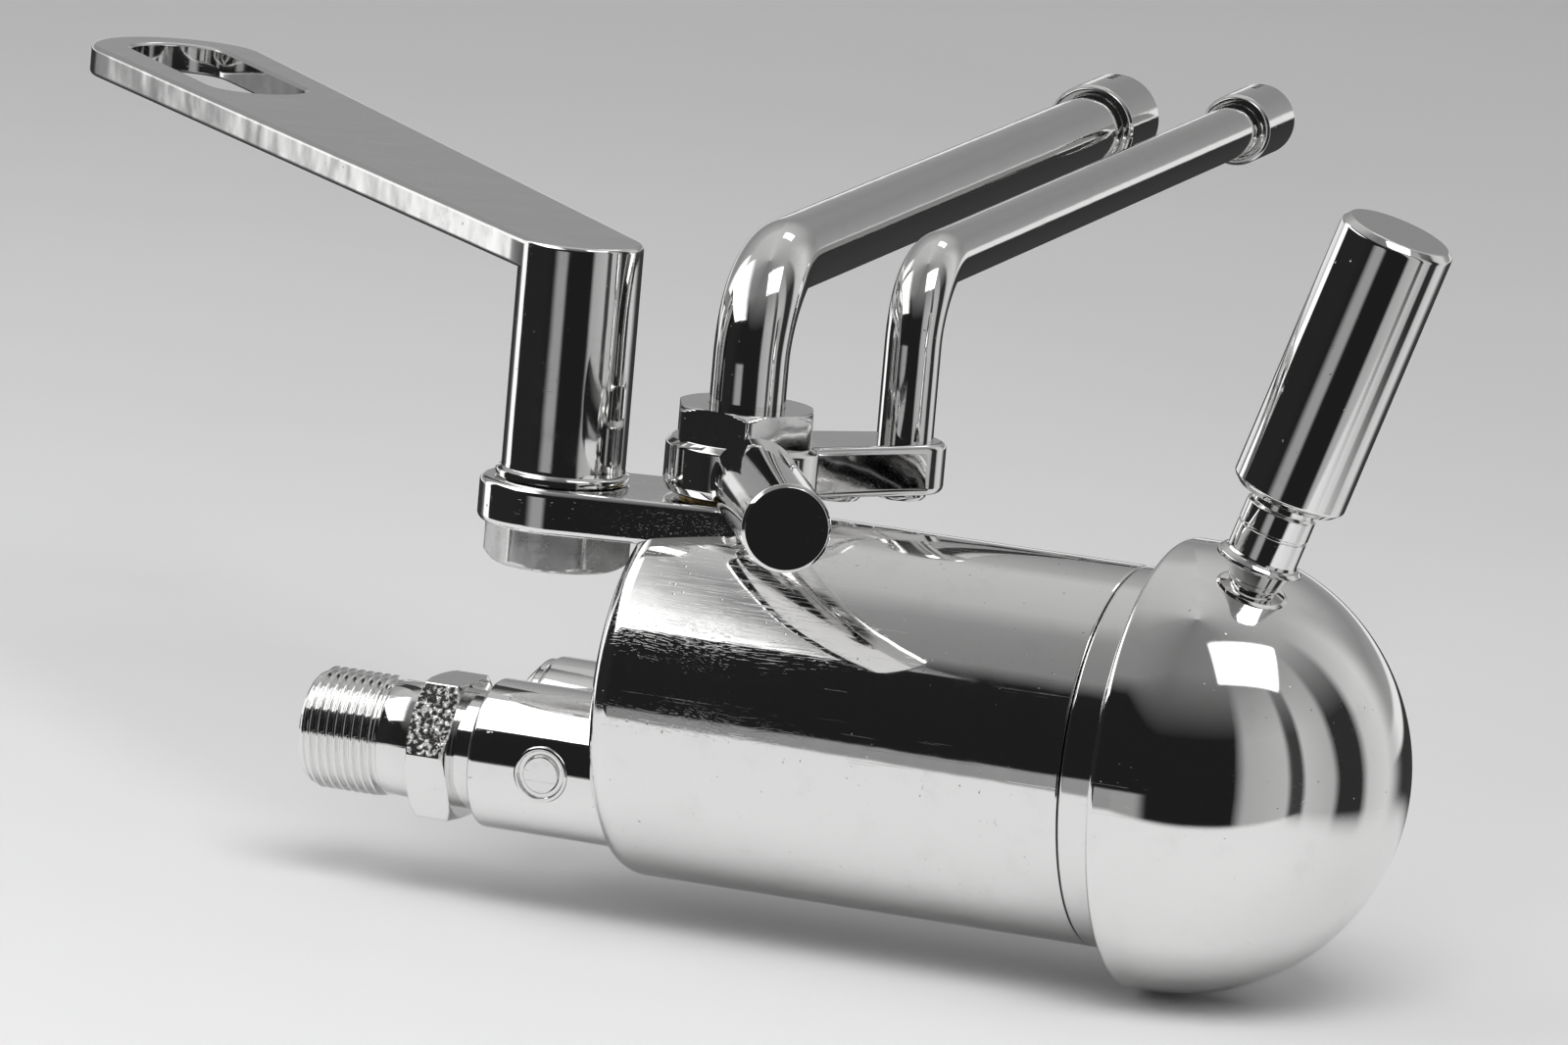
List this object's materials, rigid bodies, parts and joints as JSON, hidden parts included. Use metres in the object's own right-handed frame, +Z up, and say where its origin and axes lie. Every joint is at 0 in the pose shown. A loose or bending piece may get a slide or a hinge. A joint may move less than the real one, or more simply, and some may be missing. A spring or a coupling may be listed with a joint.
{
  "type": "lever angle valve",
  "caption": "Chrome two-inlet angle valve with a dome lever handle, a swing hub with two wash tubes and a thumb rod, and a slotted seat-bolt bracket.",
  "frame": {"origin": "centre of the free end of the male inlet thread", "axes": "+X from the inlet towards the dome handle, along the valve body; +Y towards the bowl, the way the wash tubes point; +Z up, along the swing hub's axis"},
  "size_m": [0.2077, 0.2118, 0.0922],
  "materials": {
    "chrome": "polished",
    "brass": "turned",
    "steel": "satin",
    "rubber": "matte",
    "ceramic": "lapped",
    "white_plastic": "moulded",
    "dark_plastic": "moulded",
    "fibre": "matte"
  },
  "bodies": {
    "bracket": {"mounting_bracket": "chrome", "clamp_bolt": "chrome"},
    "valve": {"valve_body": "chrome", "bonnet_ring": "chrome", "cartridge_nut": "brass", "cartridge_housing": "white_plastic", "cartridge_base": "white_plastic", "base_seals": "rubber", "fixed_disc": "ceramic", "inlet_nipple": "chrome", "socket_washers": "fibre", "filter_screen": "steel", "check_seat": "brass", "check_cage": "white_plastic", "side_plug": "chrome", "blank_plug": "chrome", "pivot_spigot": "brass", "spigot_seal": "rubber", "hub_clip": "steel"},
    "rotor": {"rotor_guide": "white_plastic", "rotor_seal": "rubber", "pivot_pin": "steel"},
    "handle": {"lever_stem": "brass", "dome_handle": "chrome", "handle_screw": "steel", "lever_neck": "chrome", "lever_grip": "chrome"},
    "disc": {"moving_disc": "ceramic", "disc_carrier": "dark_plastic"},
    "check": {"check_ball": "rubber"},
    "swing": {"swing_hub": "chrome", "union_nut": "chrome", "tube_ferrule": "brass", "wash_tube_large": "chrome", "wash_tube_small": "chrome", "nozzle_tips": "chrome", "thumb_rod": "chrome", "arm_plugs": "chrome"}
  },
  "joints": [
    {"name": "bracket_swivel", "type": "hinge", "parent": "bracket", "child": "valve", "pos_m": [0.026, 0.004, 0.029], "axis": [0, 0, 1], "range_deg": [-20, 15]},
    {"name": "mix_turn", "type": "hinge", "parent": "valve", "child": "rotor", "pos_m": [0.089, 0.009, 0.009], "axis": [1, 0, 0], "range_deg": [-45, 45]},
    {"name": "flow_tilt", "type": "hinge", "parent": "rotor", "child": "handle", "pos_m": [0.089, 0.009, 0.009], "axis": [0, 1, 0], "range_deg": [0, 18]},
    {"name": "disc_slide", "type": "slide", "parent": "rotor", "child": "disc", "axis": [0, 0, 1], "range_m": [0, 0.00378]},
    {"name": "check_lift", "type": "slide", "parent": "valve", "child": "check", "axis": [1, 0, 0], "range_m": [0, 0.0015]},
    {"name": "tube_swing", "type": "hinge", "parent": "valve", "child": "swing", "pos_m": [0.046, 0.009, 0.036], "axis": [0, 0, 1], "range_deg": [-10, 24]}
  ],
  "couplings": [
    {"joint": "disc_slide", "follows": "flow_tilt", "m_per_rad": 0.012}
  ]
}
